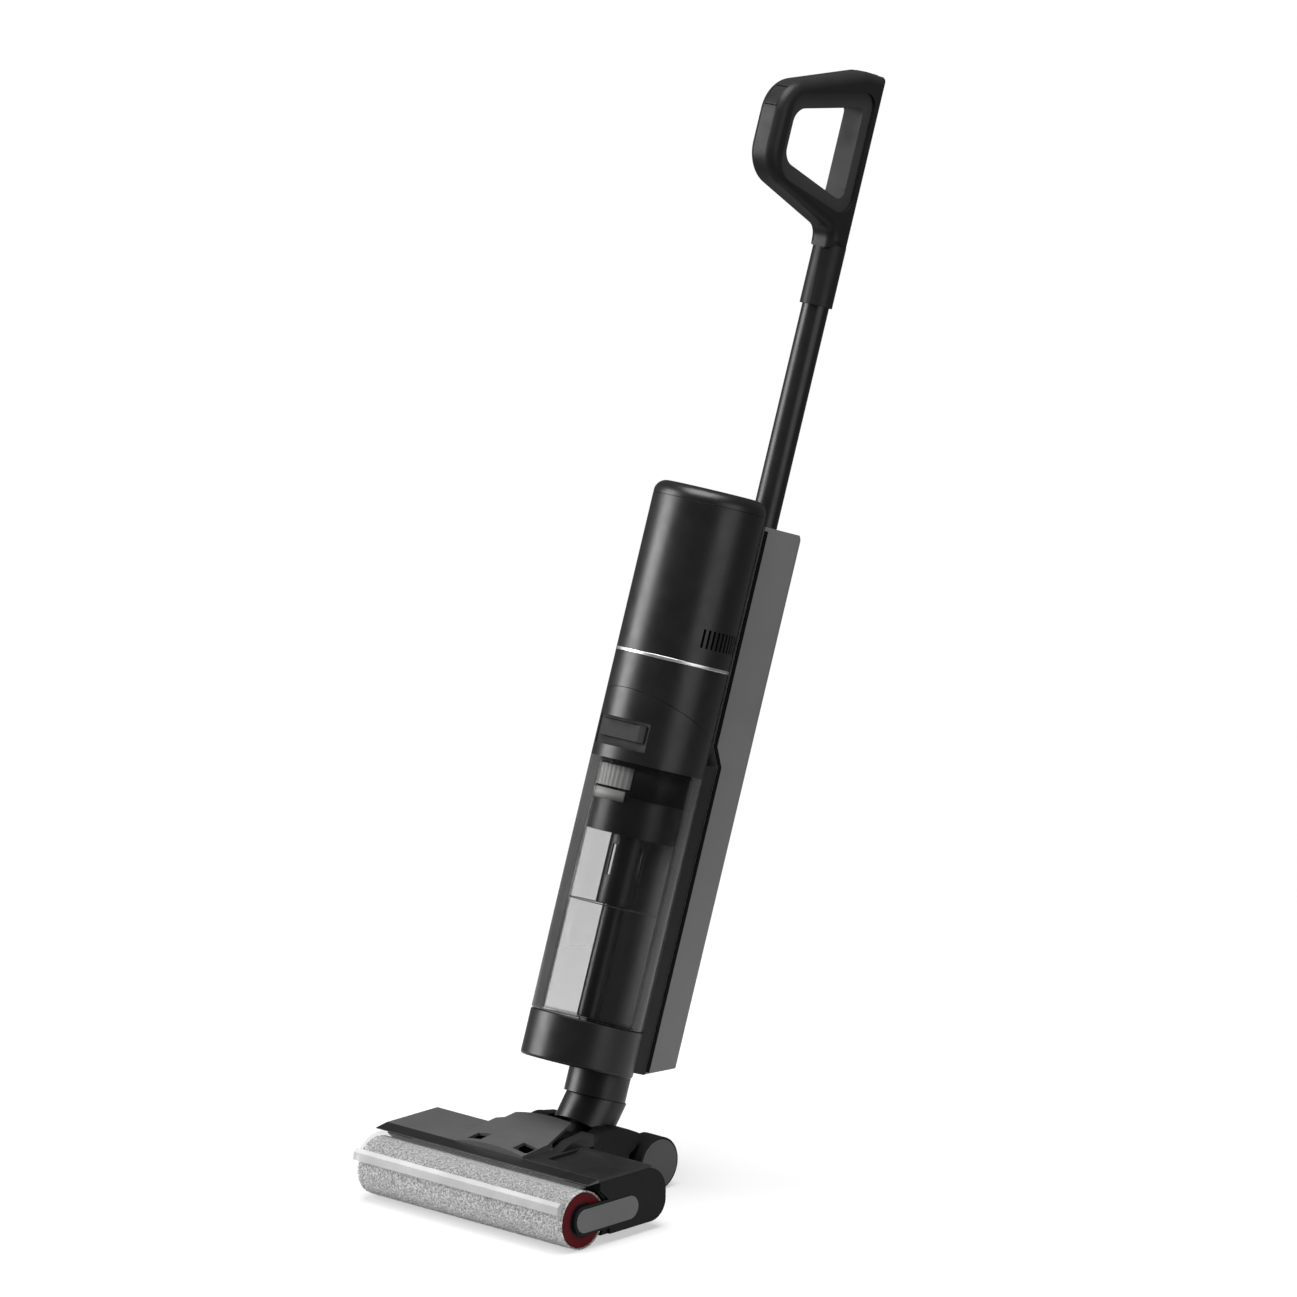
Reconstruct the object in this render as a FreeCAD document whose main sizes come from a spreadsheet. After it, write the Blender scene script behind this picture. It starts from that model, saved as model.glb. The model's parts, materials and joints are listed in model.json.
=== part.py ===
import FreeCAD, Part
import Sketcher
import os
import re

# A cordless wet dry floor scrubber: a powered roller head on two rear wheels, and a leaning
# body that carries the two water tanks, the motor and a removable handle.
#
# Row frame: +X to the machine's right, +Y to its rear, +Z up, the floor at Z = 0.
# Head pieces are drawn from the roller's axis: Y = 0 above the point where the roller touches
# the floor.  Body pieces are drawn upright, from the tilt pivot, and leaned back as a group.

os.makedirs("parts", exist_ok=True)
doc = FreeCAD.newDocument("floor_scrubber")
Vector, Rotation, Placement = FreeCAD.Vector, FreeCAD.Rotation, FreeCAD.Placement

SIZES = {
    # the frame
    "origin_back": (260.5, "roller axis to the origin"),
    "lean": (19.63, "the body's lean back from upright, degrees"),
    "pivot_back": (130, "roller axis to tilt pivot"),
    "pivot_high": (45, "floor to tilt pivot"),
    "gap": (0.3, "clearance between separate bodies"),
    "run": (0.05, "running clearance of a shaft in its hole"),
    "wall": (2.5, "usual moulded wall"),
    # the roller
    "roller_radius": (29.15, "outside of the pile, and height of the roller's axis"),
    "roller_left": (133.6, "middle to the left end of the pile"),
    "roller_right": (137.1, "middle to the right end of the pile"),
    "pile_inner": (26.6, "inside of the pile"),
    "end_ring_inner": (17, "inside of the coloured end ring"),
    "core_inner": (22, "inside of the roller's tube"),
    "spindle": (4, "radius of the roller's end pins"),
    "roller_space": (31.2, "radius of the space round the roller"),
    # the head
    "head_half": (141, "half the head's width"),
    "left_face": (134, "inner face of the drive case"),
    "right_face": (137.4, "inner face of the right arm"),
    "chassis_low": (9, "floor to the chassis"),
    "chassis_top": (62.2, "floor to the chassis top"),
    "chassis_front": (21, "front of the chassis top"),
    "chassis_rear": (111, "rear of the chassis"),
    "rear_round_low": (20, "rear lower rounding"),
    "rear_round_top": (26, "rear upper rounding"),
    "arm_radius": (14.2, "round end of the side arms"),
    "arm_reach": (61, "roller axis to the rear centre of the side strip"),
    "strip_radius": (11.4, "round ends of the side strip"),
    "strip_proud": (0.8, "side strip stands out"),
    "duct_half": (25, "half width of the suction duct"),
    "duct_top": (46, "top of the suction duct"),
    "motor_back": (61, "roller axis to the drive motor's axis"),
    "motor_radius": (16, "drive motor"),
    "pulley_large": (10, "pulley on the roller"),
    "pulley_small": (6, "pulley on the motor"),
    "belt_thick": (1.5, "belt"),
    # the roller cover
    "cover_front": (4, "front edge of the cover"),
    "cover_low": (62.5, "underside of the cover"),
    "cover_top": (65.8, "flat top of the cover"),
    "cover_slope": (19, "where the front slope meets the top"),
    "cover_rear": (88, "rear edge of the cover's flat"),
    "deck_edge": (40, "middle to the dark deck"),
    "deck_front": (19.5, "front of the dark deck"),
    "deck_rest_front": (40, "front of the sunk rest in the deck"),
    "deck_rest_deep": (3, "depth of the sunk rest"),
    "shoulder_out": (53, "middle to the outside of the deck's raised shoulder"),
    "shoulder_front": (58, "where the shoulder starts to rise"),
    "shoulder_top": (76, "top of the shoulder at its rear"),
    "dome_half": (62, "middle to the left side of the bulge"),
    "dome_end": (112, "rear of the bulge"),
    "corner_slant": (18, "slant of the bulge's cut right rear corner, degrees"),
    "dome_radius": (230, "bulge over the neck"),
    "dome_top": (82, "top of the bulge at its rear"),
    "dome_back": (108, "where the bulge is that high"),
    "dome_slope": (6.6, "slope of the bulge to the front, degrees"),
    "well_back": (134, "middle of the neck's well"),
    "well_radius": (30.5, "radius of the neck's well"),
    "latch_out": (30, "middle to each latch"),
    "latch_wide": (18, "latch opening, across"),
    "latch_deep": (16, "latch opening, front to back"),
    "visor_thick": (1.8, "clear visor wall"),
    "visor_start": (98, "visor's upper edge, degrees up and over from the front"),
    "visor_turn": (73, "how far the visor wraps, degrees"),
    "lip_low": (39.5, "visor lip, lower edge"),
    "lip_high": (52, "visor lip, upper edge"),
    "lip_front": (35.2, "visor lip, front face"),
    # the rear wheels and the pivot
    "wheel_radius": (26.4, "rear wheel"),
    "wheel_back": (191, "roller axis to rear axle"),
    "wheel_outer": (56.5, "middle to the wheels' outer faces"),
    "wheel_inner": (30.5, "middle to the wheels' inner faces"),
    "hub_radius": (24.2, "wheel hub"),
    "axle_radius": (4, "rear axle"),
    "ear_inner": (31.2, "inner face of the pivot ears"),
    "ear_outer": (49, "outer face of the pivot ears"),
    "ear_radius": (27, "pivot ears"),
    "pin_radius": (6, "pivot pins"),
    "pin_inner": (24, "middle to the pins' inner ends"),
    "pin_outer": (45, "middle to the pins' outer ends"),
    "bridge_top": (21, "top of the bridge between the ears"),
    "bridge_rear": (150, "rear of that bridge"),
    "beam_half": (14, "half width of the beam to the rear axle"),
    "guard_rear": (175, "rear tip of the guards in front of the wheels"),
    "guard_tip": (58, "height of that tip"),
    "contact_wide": (8, "charging contact, across"),
    "contact_out": (16, "middle to the near side of each contact"),
    "contact_front": (132, "charging contacts, front"),
    "contact_rear": (142, "charging contacts, rear"),
    "knuckle_radius": (18, "tilt knuckle barrel"),
    "spigot_radius": (15, "swivel spigot"),
    "neck_lean": (17.8, "lower neck against the body axis, degrees"),
    # the neck and base
    "elbow_radius": (28.8, "lower neck"),
    "elbow_start": (19.5, "pivot to the lower neck"),
    "neck_seam": (52, "seam between lower neck and collar"),
    "collar_back": (13.3, "collar axis behind the pivot"),
    "collar_radius": (30.1, "neck collar"),
    "base_low": (77, "bottom of the base cup"),
    "base_top": (121.8, "top of the base cup"),
    # the front cylinder
    "drum_back": (-22.4, "cylinder axis against the pivot"),
    "drum_radius": (55, "cylinder"),
    "tank_low": (122.2, "bottom of the dirty water tank"),
    "tank_top": (371, "top of the clear wall"),
    "tank_wall": (2.6, "clear wall"),
    "inlet_radius": (11, "dirty water pipe"),
    "inlet_top": (235, "top of the pipe, bottom of the cage"),
    "cage_radius": (18.5, "separator cage"),
    "cage_top": (302, "top of the cage, bottom of the filter housing"),
    "port_low": (262, "cage ports, lower end"),
    "port_high": (292, "cage ports, upper end"),
    "float_radius": (13, "float"),
    "float_low": (240, "float, at rest"),
    "float_high": (16, "height of the float"),
    "housing_radius": (44, "filter housing"),
    "housing_top": (338, "rim of the filter housing"),
    "filter_radius": (48, "filter"),
    "filter_low": (345, "underside of the filter"),
    "filter_high": (370, "top of the filter"),
    "seal_low": (366, "underside of the lid's seal"),
    "seam_mid": (419, "slanted seam on the cylinder axis"),
    "seam_slope": (20.9, "slope of the seam, degrees"),
    "ring_mid": (475.5, "silver ring"),
    "ring_high": (3.2, "silver ring"),
    "slot_low": (493, "exhaust slots, lower end"),
    "slot_high": (511, "exhaust slots, upper end"),
    "battery_half": (31, "battery pack, half its width and depth"),
    "battery_low": (452, "battery pack, lower end"),
    "battery_high": (520, "battery pack, upper end"),
    "motor_low": (525, "suction motor, lower end"),
    "motor_high": (596, "suction motor, upper end"),
    "board_low": (612, "control board"),
    "board_high": (614, "control board"),
    "slot_start": (66, "first exhaust slot, degrees from the front"),
    "slot_pitch": (6, "between exhaust slots, degrees"),
    "cap_low": (628, "seam of the top cap"),
    "drum_top": (642, "top of the machine's body"),
    "recess_low": (383, "button recess, lower edge"),
    "recess_high": (411, "button recess, upper edge"),
    "recess_half": (32, "button recess, half width"),
    "recess_deep": (11, "button recess"),
    "button_low": (391, "release button"),
    "button_high": (407.6, "release button"),
    "button_sunk": (6, "face of the release button, behind the front of the cylinder"),
    "button_half": (28, "release button, half width"),
    # the rear housing
    "rear_half": (38, "rear tank, half width"),
    "rear_face": (80.2, "back of the rear tank"),
    "rear_round": (8, "rear tank corners"),
    "rear_front_low": (34.7, "front of the rear tank, lower part"),
    "rear_front_high": (21.7, "front of the rear tank, upper part"),
    "rear_step_low": (386, "where the step in its front starts"),
    "rear_step_high": (405, "where the step in its front ends"),
    "rear_low": (83.8, "bottom at the front"),
    "rear_low_back": (96.6, "bottom at the back"),
    "rear_top": (620, "top"),
    "cap_radius": (14, "filler cap on the back"),
    "cap_high": (355, "filler cap, above the pivot"),
    "channel_half": (17, "channel for the pole socket, half width"),
    "channel_low": (382, "bottom of that channel"),
    # the pole and handle
    "pole_back": (61, "pole axis against the pivot"),
    "pole_radius": (13.2, "pole"),
    "pole_low": (478, "bottom of the pole"),
    "socket_radius": (16.6, "pole socket"),
    "socket_low": (470, "bottom of the pole socket"),
    "sleeve_radius": (16, "handle sleeve"),
    "sleeve_low": (839, "bottom of the handle sleeve"),
    "pole_top": (905, "top of the pole in the handle"),
    "grip_half": (15.8, "handle, half thickness"),
    "grip_round": (9.5, "handle edge rounding"),
    "insert_half": (12.5, "grip insert, half thickness"),
    "loop_back": (72.7, "back of the handle"),
    "loop_top": (1067.6, "top of the handle"),
    "loop_front": (-69.6, "front of the handle"),
    "loop_corner": (1034.8, "height of its front top corner"),
    "loop_round": (36, "rounding of that corner"),
    "button_wide": (15, "handle buttons, across"),
    "button_deep": (5, "handle buttons, thickness under the handle's surface"),
    "button_play": (1.3, "free angle past each end of an arc button, degrees"),
}

dims = doc.addObject("Spreadsheet::Sheet", "dims")
for row, (alias, (size, meaning)) in enumerate(SIZES.items(), start=1):
    dims.set(f"A{row}", alias)
    dims.set(f"B{row}", str(size))
    dims.set(f"C{row}", meaning)
    dims.setAlias(f"B{row}", alias)
doc.recompute()

WORD = re.compile(r"[a-z_]+")
subparts = {}


# ------------------------------------------------------------------ helpers

def cells(expression):
    """Name the sheet before each alias in an expression such as "base_low + wall"."""
    return WORD.sub(lambda m: "dims." + m[0] if m[0] in SIZES else m[0], str(expression))


def size_of(expression):
    """The value of an expression, for geometry that Part's own functions make."""
    return float(dims.evalExpression(cells(expression)))


def bind(thing, **sizes):
    for name, expression in sizes.items():
        thing.setExpression(name.replace("__", "."), cells(expression))


def put(thing, x, y, z):
    bind(thing, Placement__Base__x=x, Placement__Base__y=y, Placement__Base__z=z)
    return thing


def box(x, y, z):
    """A block between two limits on each axis."""
    block = doc.addObject("Part::Box", "block")
    bind(block, Length=f"({x[1]}) - ({x[0]})", Width=f"({y[1]}) - ({y[0]})",
         Height=f"({z[1]}) - ({z[0]})")
    return put(block, x[0], y[0], z[0])


TURN_TO = {
    "x": Rotation(Vector(0, 1, 0), 90),
    "y": Rotation(Vector(1, 0, 0), -90),
    "z": Rotation(),
}


def cylinder(radius, span, centre=("0", "0"), along="z", sector="360"):
    """A cylinder between two limits along an axis; centre gives its other two coordinates."""
    drum = doc.addObject("Part::Cylinder", "drum")
    bind(drum, Radius=radius, Height=f"({span[1]}) - ({span[0]})", Angle=sector)
    drum.Placement = Placement(Vector(), TURN_TO[along])
    first, second = centre
    if along == "x":
        return put(drum, span[0], first, second)
    if along == "y":
        return put(drum, first, span[0], second)
    return put(drum, first, second, span[0])


def face_down_from(sector, start):
    """Turn a sector along X so that it runs forwards and down from an angle above the front."""
    place = sector.Placement.Base
    turn = Rotation(Vector(1, 0, 0), 270 - size_of(start))
    sector.Placement = Placement(place, turn * TURN_TO["x"])


def cut(base, *tools):
    for tool in tools:
        result = doc.addObject("Part::Cut", "cut")
        result.Base = base
        result.Tool = tool
        base = result
    return base


def fuse(*pieces):
    result = doc.addObject("Part::MultiFuse", "fusion")
    result.Shapes = list(pieces)
    result.Refine = True
    return result


def common(*pieces):
    result = doc.addObject("Part::MultiCommon", "common")
    result.Shapes = list(pieces)
    return result


def group(*pieces):
    """Separate solids of one kind, such as screws."""
    result = doc.addObject("Part::Compound", "group")
    result.Links = list(pieces)
    return result


def ring(outer, inner, span, centre=("0", "0"), along="z"):
    return cut(cylinder(outer, span, centre, along), cylinder(inner, span, centre, along))


def draw(sketch, corners):
    """Draw a closed outline whose corners are fixed by dimensions bound to the sheet."""
    spots = [Vector(size_of(a), size_of(b), 0) for a, b in corners]
    count = len(spots)
    for i, spot in enumerate(spots):
        sketch.addGeometry(Part.LineSegment(spot, spots[(i + 1) % count]), False)
    for i in range(count):
        sketch.addConstraint(Sketcher.Constraint("Coincident", i, 2, (i + 1) % count, 1))
    for i, (a, b) in enumerate(corners):
        for kind, expression, place in (("DistanceX", a, spots[i].x), ("DistanceY", b, spots[i].y)):
            index = sketch.addConstraint(Sketcher.Constraint(kind, -1, 1, i, 1, place))
            sketch.setExpression(f"Constraints[{index}]", cells(expression))


PLANES = {
    "yz": Rotation(Vector(1, 1, 1), 120),
    "xz": Rotation(Vector(1, 0, 0), 90),
}


def prism(corners, span, plane="yz"):
    """Extrude an outline in the YZ plane along X, or one in the XZ plane along -Y."""
    sketch = doc.addObject("Sketcher::SketchObject", "outline")
    draw(sketch, corners)
    sketch.Placement = Placement(Vector(), PLANES[plane])
    start = {"yz": (span[0], 0, 0), "xz": (0, span[1], 0)}[plane]
    put(sketch, *start)
    solid = doc.addObject("Part::Extrusion", "prism")
    solid.Base = sketch
    solid.DirMode = "Normal"
    solid.Solid = True
    bind(solid, LengthFwd=f"({span[1]}) - ({span[0]})")
    return solid


def turned(name, profile):
    """A body of revolution about Z from an outline of radius and height pairs."""
    body = doc.addObject("PartDesign::Body", name)
    sketch = body.newObject("Sketcher::SketchObject", name + "_profile")
    plane = next(f for f in body.Origin.OriginFeatures if f.Role == "XZ_Plane")
    sketch.AttachmentSupport = [(plane, "")]
    sketch.MapMode = "FlatFace"
    draw(sketch, profile)
    spin = body.newObject("PartDesign::Revolution", name + "_turn")
    spin.Profile = sketch
    spin.ReferenceAxis = (sketch, ["V_Axis"])
    spin.Angle = 360
    return body


def rounded(base, radius, wanted):
    """Round the edges of a solid that the test function picks."""
    doc.recompute()
    amount = size_of(radius)
    fillet = doc.addObject("Part::Fillet", "rounding")
    fillet.Base = base
    edges = enumerate(base.Shape.Edges, start=1)
    fillet.Edges = [(i, amount, amount) for i, edge in edges if wanted(edge)]
    return fillet


def runs_along(edge, axis):
    """True for a straight edge parallel to an axis."""
    if not isinstance(edge.Curve, Part.Line):
        return False
    return abs(edge.Curve.Direction.dot(axis)) > 0.999


def near(edge, **spot):
    """True when the middle of an edge is within half a millimetre of the given coordinates."""
    middle = edge.CenterOfMass
    return all(abs(getattr(middle, axis) - size_of(at)) < 0.5 for axis, at in spot.items())


def keep(name, piece, home):
    """Name a finished sub-part and put its group where it stands."""
    primitives = ("Part::Box", "Part::Cylinder", "Part::Cone", "Part::Torus", "Part::Sphere")
    if piece.TypeId in primitives or piece.Placement.Base.Length > 0:
        piece = group(piece)
    piece.Label = name
    if home == "head":
        put(piece, "0", "-origin_back", "0")
    else:
        piece.Placement = Placement(Vector(), Rotation(Vector(-1, 0, 0), size_of("lean")))
        piece.setExpression("Placement.Rotation.Angle", cells("lean"))
        put(piece, "0", "pivot_back - origin_back", "pivot_high")
    subparts[name] = piece


X_AXIS, Z_AXIS = Vector(1, 0, 0), Vector(0, 0, 1)
ROLLER = ("0", "roller_radius")
DRUM = ("0", "drum_back")
POLE = ("0", "pole_back")


# ------------------------------------------------------------------ the roller

def make_roller():
    ends = ("-roller_left", "roller_right")
    keep("roller_pile", ring("roller_radius", "pile_inner", ends, ROLLER, "x"), "head")
    tube = ring("pile_inner", "core_inner", ("-roller_left + 1", "roller_right - 3"), ROLLER, "x")
    keep("roller_core", tube, "head")
    band = ring("pile_inner", "end_ring_inner", ("roller_right - 3", "roller_right - 0.4"), ROLLER, "x")
    keep("roller_end_ring", band, "head")
    plug = fuse(
        cylinder("end_ring_inner", ("roller_right - 18", "roller_right - 0.8"), ROLLER, "x"),
        cylinder("core_inner", ("roller_right - 18", "roller_right - 3"), ROLLER, "x"))
    bore = cylinder("spindle + run", ("roller_right - 16", "roller_right"), ROLLER, "x")
    keep("roller_hub", cut(plug, bore), "head")
    drive = fuse(
        cylinder("core_inner", ("-roller_left + 1", "-roller_left + 16"), ROLLER, "x"),
        cylinder("spindle", ("-left_face - 2.3", "-roller_left + 16"), ROLLER, "x"),
        cylinder("pulley_large", ("-head_half + 1.8", "-left_face - 2.2"), ROLLER, "x"))
    keep("roller_pulley", drive, "head")


# ------------------------------------------------------------------ the head

def chassis_block():
    profile = [("0", "chassis_low"), ("chassis_rear", "chassis_low"),
               ("chassis_rear", "chassis_top"), ("0", "chassis_top")]
    block = prism(profile, ("-left_face", "right_face"))
    block = rounded(block, "rear_round_low", lambda e: near(e, y="chassis_rear", z="chassis_low"))
    return rounded(block, "rear_round_top", lambda e: near(e, y="chassis_rear", z="chassis_top"))


def make_chassis():
    block = chassis_block()
    bay_top = "chassis_top + 1"
    motor_bay = box(("-left_face + 3", "-duct_half - 6"), ("36", "92"), ("chassis_low + 3", bay_top))
    right_bay = box(("duct_half + 6", "right_face - 3"), ("36", "92"), ("chassis_low + 3", bay_top))
    duct_bay = box(("-duct_half - 3", "duct_half + 3"), ("20", "112"), ("chassis_low + 2", bay_top))
    front = box(("-150", "150"), ("-1", "chassis_front"), ("40", "70"))
    space = cylinder("roller_space", ("-150", "150"), ROLLER, "x")
    blade = box(("-126", "126"), ("28", "36"), ("36.9", "39.1"))
    shaft = cylinder("2.6", ("-150", "-100"), ("motor_back", "roller_radius"), "x")
    keep("head_chassis", cut(block, motor_bay, right_bay, duct_bay, front, space, blade, shaft), "head")
    keep("scraper", box(("-125", "125"), ("28.1", "35.6"), ("37", "39")), "head")
    plate = box(("-124", "124"), ("40", "96"), ("chassis_low - 2.4", "chassis_low"))
    spots = [(x, y) for x in ("-110", "-60", "60", "110") for y in ("48", "88")]
    holes = [cylinder("3.1", ("0", "20"), spot) for spot in spots]
    keep("base_plate", cut(plate, *holes), "head")
    heads = [cylinder("3", ("chassis_low - 2.2", "chassis_low"), spot) for spot in spots]
    keep("base_screws", group(*heads), "head")


def make_duct():
    outer = box(("-duct_half", "duct_half"), ("36", "106"), ("chassis_low + 2.2", "duct_top"))
    inner = box(("-duct_half + 2", "duct_half - 2"), ("30", "104"), ("chassis_low + 4.2", "duct_top - 2"))
    outlet = box(("-duct_half + 6", "duct_half - 6"), ("100", "108"), ("chassis_low + 8", "duct_top - 6"))
    keep("suction_duct", cut(outer, inner, outlet), "head")
    bar = box(("-100", "100"), ("13", "chassis_front - gap"), ("58.2", "cover_low - 0.1"))
    nozzles = [cylinder("0.8", ("50", "61"), (x, "15")) for x in ("-80", "-48", "-16", "16", "48", "80")]
    keep("spray_bar", cut(bar, *nozzles), "head")


def side_outline(span):
    """One side of the head: a narrow arm to the roller's axis and a rounded rear part."""
    rear = prism([("34", "chassis_low"), ("chassis_rear", "chassis_low"),
                  ("chassis_rear", "cover_low - 0.1"), ("21", "cover_low - 0.1"),
                  ("21", "54"), ("34", "42")], span)
    rear = rounded(rear, "rear_round_low", lambda e: near(e, y="chassis_rear", z="chassis_low"))
    rear = rounded(rear, "rear_round_top", lambda e: near(e, y="chassis_rear", z="cover_low - 0.1"))
    tip = cylinder("arm_radius", span, ROLLER, "x")
    bar = box(span, ("0", "60"), ("roller_radius - arm_radius", "roller_radius + arm_radius"))
    return fuse(rear, tip, bar)


def make_arms():
    pin = cylinder("spindle", ("roller_right - 15", "right_face + 1"), ROLLER, "x")
    keep("right_arm", fuse(side_outline(("right_face", "head_half - strip_proud")), pin), "head")
    strip = ("head_half - strip_proud", "head_half")
    ends = [cylinder("strip_radius", strip, (y, "roller_radius"), "x") for y in ("0", "arm_reach")]
    bar = box(strip, ("0", "arm_reach"), ("roller_radius - strip_radius", "roller_radius + strip_radius"))
    keep("arm_trim", fuse(bar, *ends), "head")
    case = side_outline(("-head_half", "-left_face"))
    inside = ("-head_half + 1.5", "-left_face - 1.8")
    cavity = fuse(
        cylinder("arm_radius - 1.6", inside, ROLLER, "x"),
        cylinder("arm_radius - 1.6", inside, ("motor_back", "roller_radius"), "x"),
        box(inside, ("0", "motor_back"),
            ("roller_radius - arm_radius + 1.6", "roller_radius + arm_radius - 1.6")))
    spindle_hole = cylinder("spindle + run", ("-left_face - 3", "-left_face + 1"), ROLLER, "x")
    shaft_hole = cylinder("2.6", ("-left_face - 3", "-left_face + 1"),
                          ("motor_back", "roller_radius"), "x")
    keep("drive_case", cut(case, cavity, spindle_hole, shaft_hole), "head")


def make_drive():
    axis = ("motor_back", "roller_radius")
    keep("drive_motor", cylinder("motor_radius", ("-left_face + 3.4", "-70"), axis, "x"), "head")
    rotor = fuse(
        cylinder("pulley_small", ("-head_half + 1.8", "-left_face - 2.2"), axis, "x"),
        cylinder("2.5", ("-left_face - 2.2", "-left_face + 3.2"), axis, "x"))
    keep("motor_pulley", rotor, "head")
    keep("drive_belt", make_belt(), "head")


def belt_loop(clearance, x):
    """The belt's outline: two arcs joined by the common tangents of the pulleys."""
    large = size_of("pulley_large") + clearance
    small = size_of("pulley_small") + clearance
    reach, high = size_of("motor_back"), size_of("roller_radius")
    sine = (large - small) / reach
    cosine = (1 - sine * sine) ** 0.5

    def on(centre, radius, sign):
        return Vector(x, centre + radius * sine, high + sign * radius * cosine)

    front = Part.Arc(on(0, large, 1), Vector(x, -large, high), on(0, large, -1))
    back = Part.Arc(on(reach, small, -1), Vector(x, reach + small, high), on(reach, small, 1))
    lower = Part.LineSegment(on(0, large, -1), on(reach, small, -1))
    upper = Part.LineSegment(on(reach, small, 1), on(0, large, 1))
    edges = [curve.toShape() for curve in (front, lower, back, upper)]
    return Part.Face(Part.Wire(edges))


def make_belt():
    left = -size_of("head_half") + 2.2
    wide = size_of("head_half - left_face") - 4.8
    slack = 0.1
    sheet = belt_loop(slack + size_of("belt_thick"), left).cut(belt_loop(slack, left))
    belt = doc.addObject("Part::Feature", "belt")
    belt.Shape = sheet.extrude(Vector(wide, 0, 0)).Solids[0]
    return belt


def dome(shrink="0"):
    """The bulge over the neck: part of a wide cylinder that slopes down to the front."""
    bulge = doc.addObject("Part::Cylinder", "bulge")
    bind(bulge, Radius=f"dome_radius - ({shrink})", Height="130")
    slope = Rotation(Vector(1, 0, 0), -90 + size_of("dome_slope"))
    bulge.Placement = Placement(Vector(), slope)
    return put(bulge, "0", "0", "dome_top - dome_radius / cos(dome_slope * 1deg)"
               " - dome_back * tan(dome_slope * 1deg)")


def make_cover():
    """The lift-off cover: a flat plate with a sloping front, and the bulge that runs back to the neck."""
    flat = [("cover_front", "cover_low"), ("cover_rear", "cover_low"), ("cover_rear", "cover_top"),
            ("cover_slope", "cover_top"), ("cover_front", "cover_low + 1")]
    plate = prism(flat, ("-head_half + 1", "head_half - 1"))
    deck_space = box(("deck_edge", "head_half + 1"), ("deck_front", "cover_rear + 1"),
                     ("cover_low - 1", "cover_top + 1"))
    bulge = common(dome(), box(("-dome_half", "deck_edge"), ("cover_slope", "dome_end"),
                               ("cover_low", "90")))
    under = common(dome("3"), box(("-dome_half + 3", "deck_edge - 3"), ("34", "dome_end - 3"),
                                  ("cover_low - 1", "90")))
    well = cylinder("well_radius", ("40", "100"), ("0", "well_back"))
    wheel_side = box(("-70", "-deck_edge - 10"), ("cover_rear", "120"), ("cover_low - 1", "100"))
    latch_y = ("cover_slope + 6", "cover_slope + 6 + latch_deep")
    windows = [
        box((f"{side}latch_out - latch_wide / 2", f"{side}latch_out + latch_wide / 2"),
            latch_y, ("cover_low - 1", "90"))
        for side in ("-", "")]
    ears = cylinder("ear_radius + gap", ("-70", "70"), ("pivot_back", "pivot_high"), "x")
    body = fuse(cut(plate, deck_space), bulge)
    body = cut(body, under, well, wheel_side, ears, corner_space(), *windows)
    keep("roller_cover", body, "head")
    for name, side in (("latch_left", "-"), ("latch_right", "")):
        tab = box((f"{side}latch_out - latch_wide / 2 + gap", f"{side}latch_out + latch_wide / 2 - gap"),
                  ("cover_slope + 6 + gap", "cover_slope + 6 + latch_deep * 0.6"),
                  ("cover_low + 0.5", "cover_top - 1"))
        keep(name, tab, "head")


def corner_space():
    """The part of the bulge that is cut away at its right rear, beside the neck."""
    block = doc.addObject("Part::Box", "corner")
    bind(block, Length="60", Width="100", Height="30")
    slant = Rotation(Vector(0, 0, 1), size_of("corner_slant"))
    block.Placement = Placement(Vector(), slant)
    return put(block, "deck_edge", "shoulder_front - 4", "cover_top + 0.4")


def make_deck():
    """The dark deck on the right: its sunk rest, and the shoulder that rises beside the neck."""
    profile = [("deck_front + gap", "cover_low"), ("cover_rear + 4", "cover_low"),
               ("cover_rear + 4", "cover_top - 1.6"), ("cover_rear - 2", "cover_top"),
               ("deck_front + gap", "cover_top")]
    plate = prism(profile, ("deck_edge + gap", "head_half - 1"))
    rest = prism([("deck_rest_front", "cover_top - deck_rest_deep"),
                  ("cover_rear - 14", "cover_top - deck_rest_deep"),
                  ("cover_rear - 6", "cover_top + 1"), ("deck_rest_front - 6", "cover_top + 1")],
                 ("shoulder_out + 4", "head_half - 34"))
    shoulder = prism([("shoulder_front", "cover_low"), ("dome_end - 8", "cover_low"),
                      ("dome_end - 8", "shoulder_top"), ("shoulder_front + 14", "shoulder_top - 4"),
                      ("shoulder_front", "cover_top")], ("deck_edge + gap", "shoulder_out"))
    shoulder = rounded(shoulder, "4", lambda e: near(e, z="shoulder_top") and runs_along(e, X_AXIS))
    ears = cylinder("ear_radius + gap", ("-70", "70"), ("pivot_back", "pivot_high"), "x")
    keep("side_deck", cut(fuse(cut(plate, rest), shoulder), ears), "head")


def make_visor():
    wall = ("-roller_left + 1", "right_face - gap")
    outer = cylinder("roller_space + visor_thick", wall, ROLLER, "x", sector="visor_turn")
    inner = cylinder("roller_space", ("-150", "150"), ROLLER, "x")
    face_down_from(outer, "visor_start")
    lip = prism([("-lip_front", "lip_low + 2"), ("-lip_front + 4.6", "lip_low"),
                 ("-lip_front + 8", "lip_high - 1"), ("-lip_front + 5", "lip_high"),
                 ("-lip_front + 1.2", "lip_high - 3")], wall)
    keep("front_visor", fuse(cut(outer, inner), cut(lip, inner)), "head")


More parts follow.
